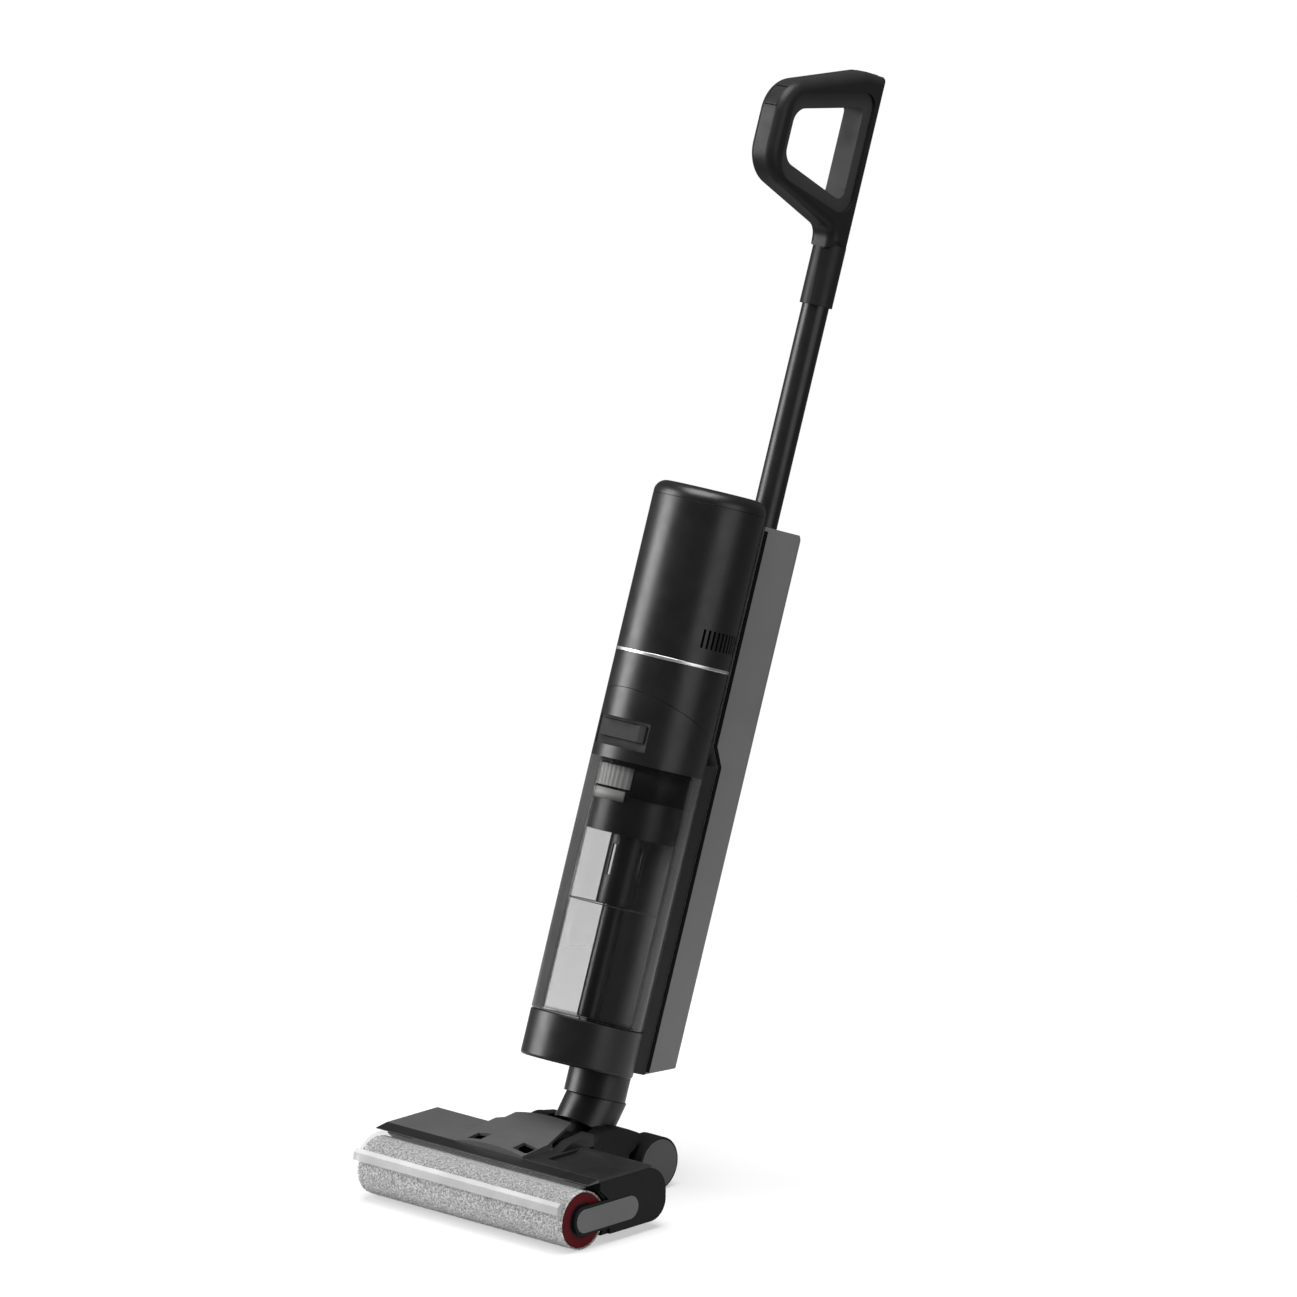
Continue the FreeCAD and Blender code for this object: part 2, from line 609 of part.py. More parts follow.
def make_yoke():
    """Ears for the tilt pivot, the bridge under it and the beam to the rear axle."""
    sides = (("-ear_outer", "-ear_inner"), ("ear_inner", "ear_outer"))
    pivot = ("pivot_back", "pivot_high")
    guard = [("pivot_back", "pivot_high + ear_radius"), ("guard_rear - 20", "guard_tip + 9.7"),
             ("guard_rear - 7", "guard_tip + 3.8"), ("guard_rear", "guard_tip"),
             ("guard_rear - 10", "guard_tip - 12"), ("guard_rear - 27", "38"), ("pivot_back", "38")]
    solids = []
    for span in sides:
        solids.append(cylinder("ear_radius", span, pivot, "x"))
        solids.append(box(span, ("chassis_rear - 6", "pivot_back"), ("chassis_low + 3", "50")))
        solids.append(prism(guard, span))
    solids += [
        box(("-ear_outer", "ear_outer"), ("chassis_rear - 4", "bridge_rear"),
            ("chassis_low", "bridge_top")),
        box(("-beam_half", "beam_half"), ("bridge_rear - 10", "wheel_back"),
            ("chassis_low + 2", "bridge_top")),
        cylinder("axle_radius * 1.7", ("-wheel_inner + gap", "wheel_inner - gap"),
                 ("wheel_back", "wheel_radius"), "x")]
    pins = cylinder("pin_radius", ("-pin_outer", "pin_outer"), pivot, "x")
    axle = cylinder("axle_radius", ("-60", "60"), ("wheel_back", "wheel_radius"), "x")
    keep("rear_yoke", cut(fuse(*solids), chassis_block(), pins, axle), "head")
    pivots = [cylinder("pin_radius", span, pivot, "x")
              for span in (("-pin_outer", "-pin_inner"), ("pin_inner", "pin_outer"))]
    keep("pivot_pins", group(*pivots), "head")
    contacts = [box((start, f"{start} + contact_wide"), ("contact_front", "contact_rear"),
                    ("chassis_low - 0.6", "chassis_low"))
                for start in ("-contact_out - contact_wide", "contact_out")]
    keep("charge_contacts", group(*contacts), "head")


def make_wheels():
    axle_at = ("wheel_back", "wheel_radius")
    axle = cylinder("axle_radius", ("-wheel_outer + 4", "wheel_outer - 4"), axle_at, "x")
    keep("wheel_axle", axle, "head")
    for name, side in (("left", -1), ("right", 1)):
        near_face, far_face = "wheel_inner", "wheel_outer"
        if side < 0:
            near_face, far_face = "-wheel_outer", "-wheel_inner"
        hub = cylinder("hub_radius", (near_face, far_face), axle_at, "x")
        hole = cylinder("axle_radius + run", ("-wheel_outer + 3.5", "wheel_outer - 3.5"), axle_at, "x")
        keep(f"wheel_hub_{name}", cut(hub, hole), "head")
        tyre = ring("wheel_radius", "hub_radius", (f"{near_face} + 0.6", f"{far_face} - 0.6"), axle_at, "x")
        keep(f"wheel_tyre_{name}", tyre, "head")


# ------------------------------------------------------------------ the neck

def along_neck(radius, start, end):
    """A cylinder on the lower neck's axis, which leans back from the pivot."""
    rod = doc.addObject("Part::Cylinder", "rod")
    bind(rod, Radius=radius, Height=f"({end}) - ({start})")
    lean = Rotation(Vector(1, 0, 0), -size_of("neck_lean"))
    rod.Placement = Placement(Vector(), lean)
    return put(rod, "0", f"({start}) * sin(neck_lean * 1deg)", f"({start}) * cos(neck_lean * 1deg)")


def make_neck():
    barrel = cylinder("knuckle_radius", ("-ear_inner + gap", "ear_inner - gap"), ("0", "0"), "x")
    spigot = along_neck("spigot_radius", "0", "42")
    bore = cylinder("pin_radius + run", ("-40", "40"), ("0", "0"), "x")
    passage = along_neck("spigot_radius - 3", "8", "60")
    keep("tilt_knuckle", cut(fuse(barrel, spigot), passage, bore), "body")
    above = box(("-100", "100"), ("-100", "100"), ("neck_seam", "200"))
    lower = cut(along_neck("elbow_radius", "elbow_start", "80"), above,
                along_neck("spigot_radius + run", "0", "42.3"),
                along_neck("elbow_radius - 4", "42.3", "90"))
    keep("neck_elbow", lower, "body")
    keep("neck_collar", ring("collar_radius", "collar_radius - 5", ("neck_seam", "base_low"),
                             ("0", "collar_back")), "body")


# ------------------------------------------------------------------ the body

def make_base():
    cup = cylinder("drum_radius", ("base_low", "base_top"), DRUM)
    cup = rounded(cup, "3", lambda e: near(e, z="base_low") and not runs_along(e, Z_AXIS))
    inside = cylinder("drum_radius - 3", ("base_low + 3", "base_top - 3"), DRUM)
    pipe_hole = cylinder("10.5", ("base_top - 4", "base_top + 1"), DRUM)
    intake = common(cylinder("20", ("base_low - 1", "base_low + 4"), ("0", "collar_back")),
                    cylinder("drum_radius - 3", ("0", "200"), DRUM))
    pipe = ring("10.6", "8.2", ("base_low + 14", "base_top - 0.4"), DRUM)
    keep("base_cup", fuse(cut(cup, inside, pipe_hole, intake), pipe), "body")
    keep("water_pump", box(("20", "42"), ("-36", "-8"), ("base_low + 3.4", "base_low + 28")), "body")


def make_spine():
    """The dark back wall: it joins the base cup to the motor housing and carries the pole."""
    wall = box(("-rear_half + 0.5", "rear_half - 0.5"), ("-10", "rear_front_low - gap"),
               ("rear_low - 1", "channel_low + 3"))
    web = box(("-channel_half + 1", "channel_half - 1"), ("26", "pole_back"),
              ("channel_low + gap", "rear_top"))
    drum_space = cylinder("drum_radius + gap", ("0", "700"), DRUM)
    socket_space = cylinder("pole_radius + run", ("socket_low", "700"), POLE)
    socket = cylinder("socket_radius", ("socket_low - 4", "rear_top"), POLE)
    keep("spine", cut(fuse(cut(fuse(wall, web), drum_space), socket), socket_space), "body")


def slanted(lift, high):
    """A block whose lower face is the slanted seam, moved along the seam's normal by lift."""
    block = doc.addObject("Part::Box", "slant")
    reach = "(2.7 * drum_radius)"
    bind(block, Length="200", Width=f"2 * {reach}", Height=high)
    block.Placement = Placement(Vector(), Rotation(Vector(1, 0, 0), -size_of("seam_slope")))
    sine, cosine = "sin(seam_slope * 1deg)", "cos(seam_slope * 1deg)"
    return put(block, "-100", f"drum_back - {reach} * {cosine} + ({lift}) * {sine}",
               f"seam_mid + {reach} * {sine} + ({lift}) * {cosine}")


def make_motor_housing():
    outer = common(cylinder("drum_radius", ("300", "cap_low"), DRUM), slanted("0.2", "400"))
    inner = common(cylinder("drum_radius - 3", ("300", "cap_low + 1"), DRUM), slanted("3.2", "400"))
    groove = ring("drum_radius + 1", "drum_radius - 1.2",
                  ("ring_mid - ring_high / 2", "ring_mid + ring_high / 2"), DRUM)
    slots = []
    for side in (-1, 1):
        for step in range(12):
            angle = (size_of("slot_start") + size_of("slot_pitch") * step) * side
            slot = doc.addObject("Part::Box", "slot")
            bind(slot, Length="2.6", Width="10", Height="slot_high - slot_low")
            slot.Placement = Placement(Vector(), Rotation(Vector(0, 0, 1), angle))
            put(slot, f"(drum_radius + 3) * sin({angle} * 1deg)",
                f"drum_back - (drum_radius + 3) * cos({angle} * 1deg)", "slot_low")
            slots.append(slot)
    keep("motor_housing", cut(outer, inner, groove, group(*slots)), "body")
    band = ring("drum_radius + 0.2", "drum_radius - 1.2",
                ("ring_mid - ring_high / 2", "ring_mid + ring_high / 2"), DRUM)
    keep("chrome_ring", band, "body")
    keep("suction_motor", cylinder("40", ("motor_low", "motor_high"), DRUM), "body")
    pack = box(("-battery_half", "battery_half"), ("drum_back - battery_half", "drum_back + battery_half"),
               ("battery_low", "battery_high"))
    keep("battery_pack", pack, "body")
    keep("control_board", cylinder("46", ("board_low", "board_high"), DRUM), "body")


def make_top_cap():
    profile = [("0", "cap_low + 3"), ("drum_radius - 6", "cap_low + 3"),
               ("drum_radius - 6", "cap_low + gap"), ("drum_radius", "cap_low + gap"),
               ("drum_radius", "drum_top"), ("0", "drum_top")]
    cap = group(turned("cap_turning", profile))
    put(cap, "0", "drum_back", "0")
    cap = rounded(cap, "12", lambda e: near(e, z="drum_top") and not runs_along(e, X_AXIS))
    lens_space = cylinder("drum_radius - 12", ("drum_top - 1.2", "drum_top + 1"), DRUM)
    keep("top_cap", cut(cap, lens_space), "body")
    keep("display_lens", cylinder("drum_radius - 12.1", ("drum_top - 1.2", "drum_top - 0.1"), DRUM), "body")


def make_dirty_tank():
    outer = cylinder("drum_radius", ("tank_low", "tank_top"), DRUM)
    outer = rounded(outer, "2", lambda e: near(e, z="tank_low") and not runs_along(e, Z_AXIS))
    inner = cylinder("drum_radius - tank_wall", ("tank_low + 3", "tank_top + 1"), DRUM)
    port = cylinder("8.2", ("tank_low - 1", "tank_low + 4"), DRUM)
    keep("dirty_tank", cut(outer, inner, port), "body")
    pipe = ring("inlet_radius", "inlet_radius - wall", ("tank_low + 3", "inlet_top"), DRUM)
    keep("inlet_pipe", pipe, "body")
    cage = ring("cage_radius", "cage_radius - 2", ("inlet_top", "cage_top"), DRUM)
    floor = ring("cage_radius", "inlet_radius - wall", ("inlet_top", "inlet_top + 2"), DRUM)
    ports = [box(("-3", "3"), ("drum_back - 30", "drum_back + 30"), ("port_low", "port_high")),
             box(("-30", "30"), ("drum_back - 3", "drum_back + 3"), ("port_low", "port_high"))]
    keep("separator_cage", cut(fuse(cage, floor), *ports), "body")
    keep("float_ball", cylinder("float_radius", ("float_low", "float_low + float_high"), DRUM), "body")
    cup = ring("housing_radius", "housing_radius - 3", ("cage_top + 2", "housing_top"), DRUM)
    rim = ring("housing_radius + 3", "30", ("housing_top", "housing_top + 5"), DRUM)
    base = ring("housing_radius", "cage_radius - 2", ("cage_top", "cage_top + 2"), DRUM)
    keep("filter_housing", fuse(cup, rim, base), "body")
    keep("tank_filter", cylinder("filter_radius", ("filter_low", "filter_high"), DRUM), "body")
    bore = "drum_radius - tank_wall"
    keep("tank_seal", ring(bore, f"{bore} - 2.5", ("seal_low", "tank_top"), DRUM), "body")


def make_tank_lid():
    above = slanted("-0.2", "400")
    outer = cut(cylinder("drum_radius", ("tank_top", "500"), DRUM), above)
    hollow = cut(cylinder("drum_radius - 3", ("tank_top - 1", "500"), DRUM), slanted("-3.2", "400"))
    front = ("-120", "drum_back - drum_radius + recess_deep")
    recess = box(("-recess_half", "recess_half"), front, ("recess_low", "recess_high"))
    behind = ("-120", "drum_back - drum_radius + recess_deep + 2")
    pocket = common(box(("-recess_half - 2", "recess_half + 2"), behind,
                        ("recess_low - 2", "recess_high + 2")),
                    cylinder("drum_radius - 1", ("300", "500"), DRUM))
    shell = fuse(cut(outer, hollow), cut(pocket, above))
    guide = box(("-button_half - gap", "button_half + gap"), ("-120", "-20"),
                ("button_low - gap", "button_high + gap"))
    keep("tank_lid", cut(shell, recess, guide), "body")
    face = "drum_back - drum_radius"
    block = common(box(("-button_half", "button_half"),
                       (f"{face} + button_sunk", f"{face} + recess_deep + 8"),
                       ("button_low", "button_high")),
                   cylinder("drum_radius - 1.2", ("300", "500"), DRUM))
    keep("tank_button", block, "body")


def make_clean_tank():
    side = [("rear_front_low", "rear_low"), ("rear_face", "rear_low_back"), ("rear_face", "rear_top - 8"),
            ("rear_face - 8", "rear_top"), ("rear_front_high", "rear_top"),
            ("rear_front_high", "rear_step_high"), ("rear_front_low", "rear_step_low")]
    width = ("-rear_half", "rear_half")
    block = prism(side, width)
    block = rounded(block, "rear_round", lambda e: near(e, y="rear_face") and runs_along(e, Z_AXIS))
    cavity = box(("-rear_half + wall", "rear_half - wall"), ("rear_front_low + wall", "rear_face - 6"),
                 ("rear_low_back + 4", "channel_low - 6"))
    sides = [box(span, ("rear_front_low + wall", "rear_face - 6"), ("channel_low - 10", "rear_top - 8"))
             for span in (("-rear_half + wall", "-channel_half - wall"),
                          ("channel_half + wall", "rear_half - wall"))]
    channel = box(("-channel_half", "channel_half"), ("0", "pole_back"), ("channel_low", "700"))
    bed = cylinder("channel_half", ("channel_low", "700"), POLE)
    drum_space = cylinder("drum_radius + 1.4", ("0", "700"), DRUM)
    spout = ("0", "cap_high")
    mouth = fuse(cylinder("cap_radius + gap", ("rear_face - 4", "rear_face + 5"), spout, "y"),
                 cylinder("cap_radius - 3", ("rear_face - 8", "rear_face"), spout, "y"))
    keep("clean_tank", cut(block, cavity, *sides, channel, bed, drum_space, mouth), "body")
    grip = box(("-2", "2"), ("rear_face - 3", "rear_face + 2.4"), ("cap_high - 10", "cap_high + 10"))
    plug = cylinder("cap_radius", ("rear_face - 3.7", "rear_face + 0.6"), spout, "y")
    keep("tank_cap", fuse(plug, grip), "body")


# ------------------------------------------------------------------ the pole and handle

def make_pole():
    keep("pole_tube", ring("pole_radius", "pole_radius - 1.4", ("pole_low", "pole_top"), POLE), "body")


def soft_prism(corners, span):
    """A prism in the YZ plane whose corners each have their own rounding."""
    block = prism([(y, z) for y, z, radius in corners], span)
    for y, z, radius in corners:
        if radius:
            block = rounded(block, radius, lambda e: runs_along(e, X_AXIS) and near(e, y=y, z=z))
    return block


def arc_pad(start, turn, spread, deep):
    """A block on the round front corner of the handle, between two angles up from the front."""
    centre = ("loop_front + loop_round", "loop_corner - loop_round * 0.78")
    half = f"(button_wide / 2 + {spread})"
    span = (f"-{half}", half)
    pad = cylinder(f"loop_round + 0.5 + {spread}", span, centre, "x", sector=turn)
    face_down_from(pad, start)
    return cut(pad, cylinder(f"loop_round - ({deep})", ("-20", "20"), centre, "x"))


def arc_button(start, turn):
    return arc_pad(start, turn, "0", "button_deep")


def arc_hole(start, turn):
    """The hole of an arc button: wider at its ends and deeper, since the button is pressed straight."""
    return arc_pad(f"{start} + button_play", f"{turn} + 2 * button_play", "gap", "button_deep + 2.4")


def make_handle():
    faces = ("-grip_half", "grip_half")
    loop = soft_prism([
        ("loop_front", "loop_corner", "loop_round"),
        ("loop_front", "947.5", "38"),
        ("pole_back - sleeve_radius", "911.3", "14"),
        ("pole_back - sleeve_radius", "895", ""),
        ("loop_back", "895", ""),
        ("loop_back", "loop_top", "2"),
        ("42", "loop_top", "20")], faces)
    loop = rounded(loop, "grip_round",
                   lambda e: abs(abs(e.CenterOfMass.x) - size_of("grip_half")) < 0.1)
    ring_corners = [("-54", "1028", "16"), ("61", "1051", "14"), ("61", "926", "16"), ("-54", "950", "24")]
    hole_corners = [("-45.7", "1014.5", "16"), ("49.6", "1034", "7"),
                    ("49.6", "940.5", "9"), ("-45.7", "964.5", "16")]
    hollow = soft_prism(ring_corners, ("-20", "20"))
    sleeve = cylinder("sleeve_radius", ("sleeve_low", "899"), POLE)
    bore = cylinder("pole_radius + run", ("800", "pole_top + 0.3"), POLE)
    buttons = {"power_button": ("74", "24"), "mode_button": ("44", "34")}
    holes = [arc_hole(start, turn) for start, turn in buttons.values()]
    top_hole = box(("-7 - gap", "7 + gap"), ("46 - gap", "64 + gap"), ("loop_top - 6", "loop_top + 2"))
    keep("handle_frame", cut(fuse(cut(loop, hollow), sleeve), bore, top_hole, *holes), "body")
    for name, (start, turn) in buttons.items():
        keep(name, arc_button(start, turn), "body")
    keep("self_clean_button", box(("-7", "7"), ("46", "64"), ("loop_top - 4", "loop_top + 0.4")), "body")
    liner = soft_prism(ring_corners, ("-insert_half", "insert_half"))
    keep("grip_insert", cut(liner, soft_prism(hole_corners, ("-20", "20"))), "body")


def check_document():
    for thing in doc.Objects:
        if "Invalid" in thing.State or "Error" in thing.State:
            raise RuntimeError(f"{thing.Name} ({thing.Label}) failed: {thing.State}")
    for name, piece in subparts.items():
        if piece.Shape.isNull() or not piece.Shape.isValid() or not piece.Shape.Solids:
            raise RuntimeError(f"{name} has no valid solid")


def main():
    make_roller()
    make_chassis()
    make_duct()
    make_arms()
    make_drive()
    make_cover()
    make_deck()
    make_visor()
    make_yoke()
    make_wheels()
    make_neck()
    make_base()
    make_spine()
    make_motor_housing()
    make_top_cap()
    make_dirty_tank()
    make_tank_lid()
    make_clean_tank()
    make_pole()
    make_handle()
    doc.recompute()
    check_document()
    for name, piece in subparts.items():
        piece.Shape.exportStep(f"parts/{name}.step")
        bounds = piece.Shape.BoundBox
        print(f"{name:18s} {len(piece.Shape.Solids)} solid(s) {piece.Shape.Volume / 1000:8.1f} cm3  "
              f"Y {bounds.YMin:7.1f} {bounds.YMax:7.1f}  Z {bounds.ZMin:7.1f} {bounds.ZMax:7.1f}")


main()
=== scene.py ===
import json
import math
import random

import bpy
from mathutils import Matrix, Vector


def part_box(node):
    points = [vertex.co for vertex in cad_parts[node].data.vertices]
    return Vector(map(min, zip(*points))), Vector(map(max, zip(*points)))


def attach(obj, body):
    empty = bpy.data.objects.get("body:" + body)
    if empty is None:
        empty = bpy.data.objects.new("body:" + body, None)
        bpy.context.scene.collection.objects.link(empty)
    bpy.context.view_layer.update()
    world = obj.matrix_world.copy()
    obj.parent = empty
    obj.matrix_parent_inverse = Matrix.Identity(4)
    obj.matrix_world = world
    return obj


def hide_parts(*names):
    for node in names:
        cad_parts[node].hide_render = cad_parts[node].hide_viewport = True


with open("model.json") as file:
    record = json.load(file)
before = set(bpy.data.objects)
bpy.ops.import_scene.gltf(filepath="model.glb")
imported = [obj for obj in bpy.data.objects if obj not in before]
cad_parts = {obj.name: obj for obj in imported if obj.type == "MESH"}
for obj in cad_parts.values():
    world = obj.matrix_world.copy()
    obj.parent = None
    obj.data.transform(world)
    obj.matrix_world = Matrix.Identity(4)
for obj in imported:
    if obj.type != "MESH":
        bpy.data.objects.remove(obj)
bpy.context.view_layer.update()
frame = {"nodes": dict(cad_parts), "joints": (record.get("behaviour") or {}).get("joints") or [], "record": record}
NODES = frame["nodes"]
JOINTS = {joint["name"]: joint for joint in frame["joints"]}

# ------------------------------------------------------------------ the machine's own directions
# The body leans back about the neck's tilt axis.  Its long axis is the way the handle pulls out,
# and its rear is the way the clean water tank comes off.
UP = Vector(JOINTS["handle_pull"]["axis"]).normalized()
REAR = Vector(JOINTS["clean_tank_release"]["axis"]).normalized()
RIGHT = Vector((1.0, 0.0, 0.0))
PIVOT = Vector(JOINTS["neck_tilt"]["pos_m"])
ROLLER = Vector(JOINTS["roller_spin"]["pos_m"])

MM = 0.001

# The front cylinder, and the dirty water tank that is part of it.
# Heights are along the body from the tilt pivot.
DRUM_BACK = -22.4 * MM
DRUM_RADIUS = 55 * MM
TANK_LOW = 122.2 * MM
TANK_HIGH = 371 * MM
TANK_WALL = 2.6 * MM
TANK_FLOOR = 3 * MM
INLET_PORT = 8.2 * MM
FILL_LINE = 233 * MM
FILTER_FRAME = 50.6 * MM
FILTER_LOW = 338.6 * MM
FILTER_HIGH = 370.6 * MM
FILTER_WALL = 1.2 * MM
FILTER_WINDOW = math.radians(29)

# The clean water tank's front edge, in millimetres back and along: upright, a slant, upright again.
TANK_EDGE = [(34.7, 86), (34.7, 386), (21.7, 405), (21.7, 616)]
# Black strips along the clean water tank's front edges: their width in millimetres, and how far they reach to each
# side of the tank's face.
STRIP_WIDE = 4.5
STRIP_PROUD = 0.4 * MM

# The roller's pile and the parts that lie close to it.
PILE_INNER = 25.2 * MM
PILE_STEPS = 150
PILE_AROUND = 160
NAP_DEPTH = 1.0 * MM
NAP_ROUGH = 0.3 * MM
TUFTS = 30000
COVER_FRONT_BAND = ROLLER.y + 20 * MM
LIP_REACH = 33.1 * MM

# The studio, in metres.
FLOOR_RADIUS = 1.3
CAMERA_AZIMUTH = math.radians(43.39)
CAMERA_ELEVATION = math.radians(14.32)
CAMERA_DISTANCE = 11.969
CAMERA_TARGET = Vector((0, -0.0251, 0.518))
CAMERA_LENS = 348.4
LIGHTS = {
    "softbox_left": dict(place=(-2.8, -2.2, 1.5), aim=(0, 0, 0.5), power=120, wide=1.9, high=2.6),
    "softbox_right": dict(place=(3.6, 0.1, 1.1), aim=(0, 0, 0.5), power=24, wide=2.6, high=2.0),
    "softbox_top": dict(place=(0.2, -0.4, 4.2), aim=(0, 0, 0), power=215, wide=3.0, high=3.0),
}


def body_point(across, back, along):
    """A point given across, behind and along the leaning body, from the tilt pivot."""
    return PIVOT + RIGHT * across + REAR * back + UP * along


def drum_centre(height):
    """The point on the front cylinder's axis at a height along the body."""
    return body_point(0, DRUM_BACK, height)


# ------------------------------------------------------------------ materials

def shader(name):
    """A new material, with its node tree and its main shader."""
    material = bpy.data.materials.new(name)
    material.use_nodes = True
    tree = material.node_tree
    return material, tree, tree.nodes["Principled BSDF"]


def node(tree, kind, **settings):
    """A shader node; each setting is one of its inputs or one of its own properties."""
    made = tree.nodes.new(kind)
    for key, value in settings.items():
        if key in made.inputs:
            made.inputs[key].default_value = value
        else:
            setattr(made, key, value)
    return made


def noise(tree, scale, detail=3.0, roughness=0.5):
    """A noise texture fixed to the object."""
    coordinates = node(tree, "ShaderNodeTexCoord")
    texture = node(tree, "ShaderNodeTexNoise", Scale=scale, Detail=detail, Roughness=roughness)
    tree.links.new(coordinates.outputs["Object"], texture.inputs["Vector"])
    return texture


def ramp(tree, source, low, high, start=0.3, end=0.7):
    """A colour ramp driven by a texture; low and high are colours or grey levels."""
    made = node(tree, "ShaderNodeValToRGB")
    for element, colour, place in zip(made.color_ramp.elements, (low, high), (start, end)):
        level = colour if isinstance(colour, tuple) else (colour,) * 3
        element.color = (*level, 1.0)
        element.position = place
    tree.links.new(source, made.inputs["Fac"])
    return made


def scaled(colour, factor):
    return tuple(channel * factor for channel in colour)


def moulded(name, colour, roughness, grain=2400.0, bump=0.12, mottle=0.12, coat=0.0, specular=0.5):
    """Moulded plastic: a fine spark-eroded grain, a slow change of tone and a little polish wear."""
    material, tree, surface = shader(name)
    slow = noise(tree, 14.0, 4.0)
    tone = ramp(tree, slow.outputs["Fac"], scaled(colour, 1 - mottle), scaled(colour, 1 + mottle))
    tree.links.new(tone.outputs["Color"], surface.inputs["Base Color"])
    worn = noise(tree, 55.0, 5.0)
    gloss = ramp(tree, worn.outputs["Fac"], roughness * 0.88, min(1.0, roughness * 1.12))
    tree.links.new(gloss.outputs["Color"], surface.inputs["Roughness"])
    fine = noise(tree, grain, 2.0)
    relief = node(tree, "ShaderNodeBump", Strength=bump, Distance=0.00012)
    tree.links.new(fine.outputs["Fac"], relief.inputs["Height"])
    tree.links.new(relief.outputs["Normal"], surface.inputs["Normal"])
    surface.inputs["Specular IOR Level"].default_value = specular
    surface.inputs["Coat Weight"].default_value = coat
    surface.inputs["Coat Roughness"].default_value = 0.08
    return material


def metal(name, colour, roughness, brush=0.0):
    """Bare metal with faint streaks in its tone and polish."""
    material, tree, surface = shader(name)
    surface.inputs["Metallic"].default_value = 1.0
    streak = noise(tree, 90.0, 3.0)
    tone = ramp(tree, streak.outputs["Fac"], scaled(colour, 0.92), colour)
    tree.links.new(tone.outputs["Color"], surface.inputs["Base Color"])
    gloss = ramp(tree, streak.outputs["Fac"], roughness * 0.8, roughness * 1.2)
    tree.links.new(gloss.outputs["Color"], surface.inputs["Roughness"])
    surface.inputs["Anisotropic"].default_value = brush
    return material


def clear(name, tint, body, slant, film=0.05, solid=0.85, roughness=0.05):
    """Clear plastic: a thin film of its own colour, which turns solid where the wall slants away."""
    material, tree, surface = shader(name)
    haze = noise(tree, 30.0, 3.0)
    tone = ramp(tree, haze.outputs["Fac"], scaled(body, 0.9), scaled(body, 1.1))
    tree.links.new(tone.outputs["Color"], surface.inputs["Base Color"])
    surface.inputs["Roughness"].default_value = roughness
    surface.inputs["Specular IOR Level"].default_value = 0.3
    through = node(tree, "ShaderNodeBsdfTransparent")
    through.inputs["Color"].default_value = (*tint, 1.0)
    weight = node(tree, "ShaderNodeLayerWeight", Blend=0.5)
    cover = node(tree, "ShaderNodeMapRange")
    cover.interpolation_type = "SMOOTHSTEP"
    for socket, value in zip(("From Min", "From Max", "To Min", "To Max"), (*slant, film, solid)):
        cover.inputs[socket].default_value = value
    tree.links.new(weight.outputs["Facing"], cover.inputs["Value"])
    mix = node(tree, "ShaderNodeMixShader")
    tree.links.new(cover.outputs["Result"], mix.inputs["Fac"])
    tree.links.new(through.outputs["BSDF"], mix.inputs[1])
    tree.links.new(surface.outputs["BSDF"], mix.inputs[2])
    tree.links.new(mix.outputs["Shader"], tree.nodes["Material Output"].inputs["Surface"])
    return material


def fleece(name):
    """Short microfibre pile: pale and dark fibres mixed, with a soft sheen."""
    material, tree, surface = shader(name)
    speck = noise(tree, 560.0, 3.0, 0.65)
    tone = ramp(tree, speck.outputs["Fac"], (0.27, 0.27, 0.273), (0.82, 0.82, 0.82), 0.38, 0.62)
    tree.links.new(tone.outputs["Color"], surface.inputs["Base Color"])
    surface.inputs["Roughness"].default_value = 0.9
    surface.inputs["Sheen Weight"].default_value = 0.15
    surface.inputs["Sheen Roughness"].default_value = 0.5
    fine = noise(tree, 1500.0, 3.0)
    relief = node(tree, "ShaderNodeBump", Strength=0.6, Distance=0.0006)
    tree.links.new(fine.outputs["Fac"], relief.inputs["Height"])
    tree.links.new(relief.outputs["Normal"], surface.inputs["Normal"])
    return material


def filter_paper(name):
    """Pleated filter medium: fine upright folds, with painted shade darker in each fold's valley."""
    material, tree, surface = shader(name)
    coordinates = node(tree, "ShaderNodeTexCoord")
    folds = node(tree, "ShaderNodeTexWave", Scale=60.0, Distortion=0.4)
    folds.bands_direction = "X"
    tree.links.new(coordinates.outputs["Object"], folds.inputs["Vector"])
    # Painted shade: the fold waves that drive the bump also make the colour lighter on each crest and darker in
    # each valley.
    tone = ramp(tree, folds.outputs["Fac"], (0.5, 0.5, 0.49), (0.7, 0.7, 0.69))
    tree.links.new(tone.outputs["Color"], surface.inputs["Base Color"])
    surface.inputs["Roughness"].default_value = 0.85
    relief = node(tree, "ShaderNodeBump", Strength=0.5, Distance=0.001)
    tree.links.new(folds.outputs["Fac"], relief.inputs["Height"])
    tree.links.new(relief.outputs["Normal"], surface.inputs["Normal"])
    return material


